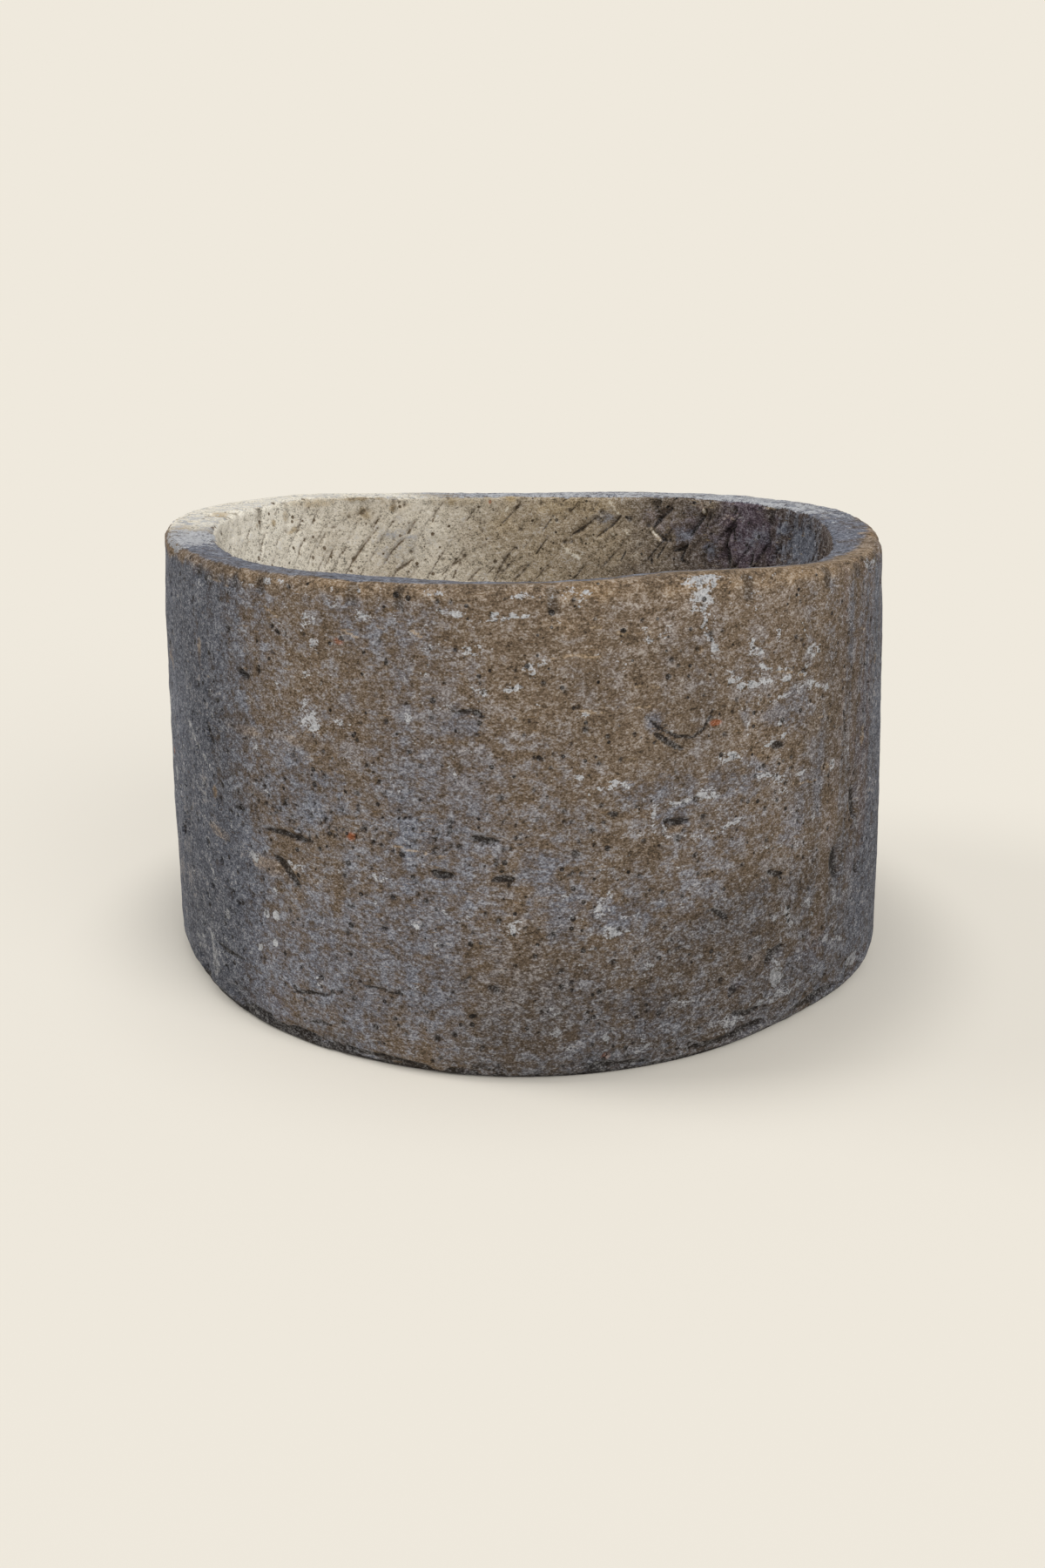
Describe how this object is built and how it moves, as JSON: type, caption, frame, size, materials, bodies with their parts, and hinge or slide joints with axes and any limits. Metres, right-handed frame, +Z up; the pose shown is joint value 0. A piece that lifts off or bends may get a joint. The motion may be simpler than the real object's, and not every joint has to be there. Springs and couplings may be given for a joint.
{
  "type": "limestone planter",
  "caption": "Round floor planter hewn from a single block of limestone, with tapering walls, worn uneven rim and open planting cavity drained through the floor.",
  "frame": {"origin": "centre of the foot, on the ground", "axes": "+Z up, -Y towards the front as pictured, +X towards the viewer's right"},
  "size_m": [0.5946, 0.5813, 0.3469],
  "materials": {
    "limestone": "rough hewn, weathered, with grey patina and lime specks"
  },
  "bodies": {
    "root": {"stone_planter": "limestone"}
  },
  "joints": []
}
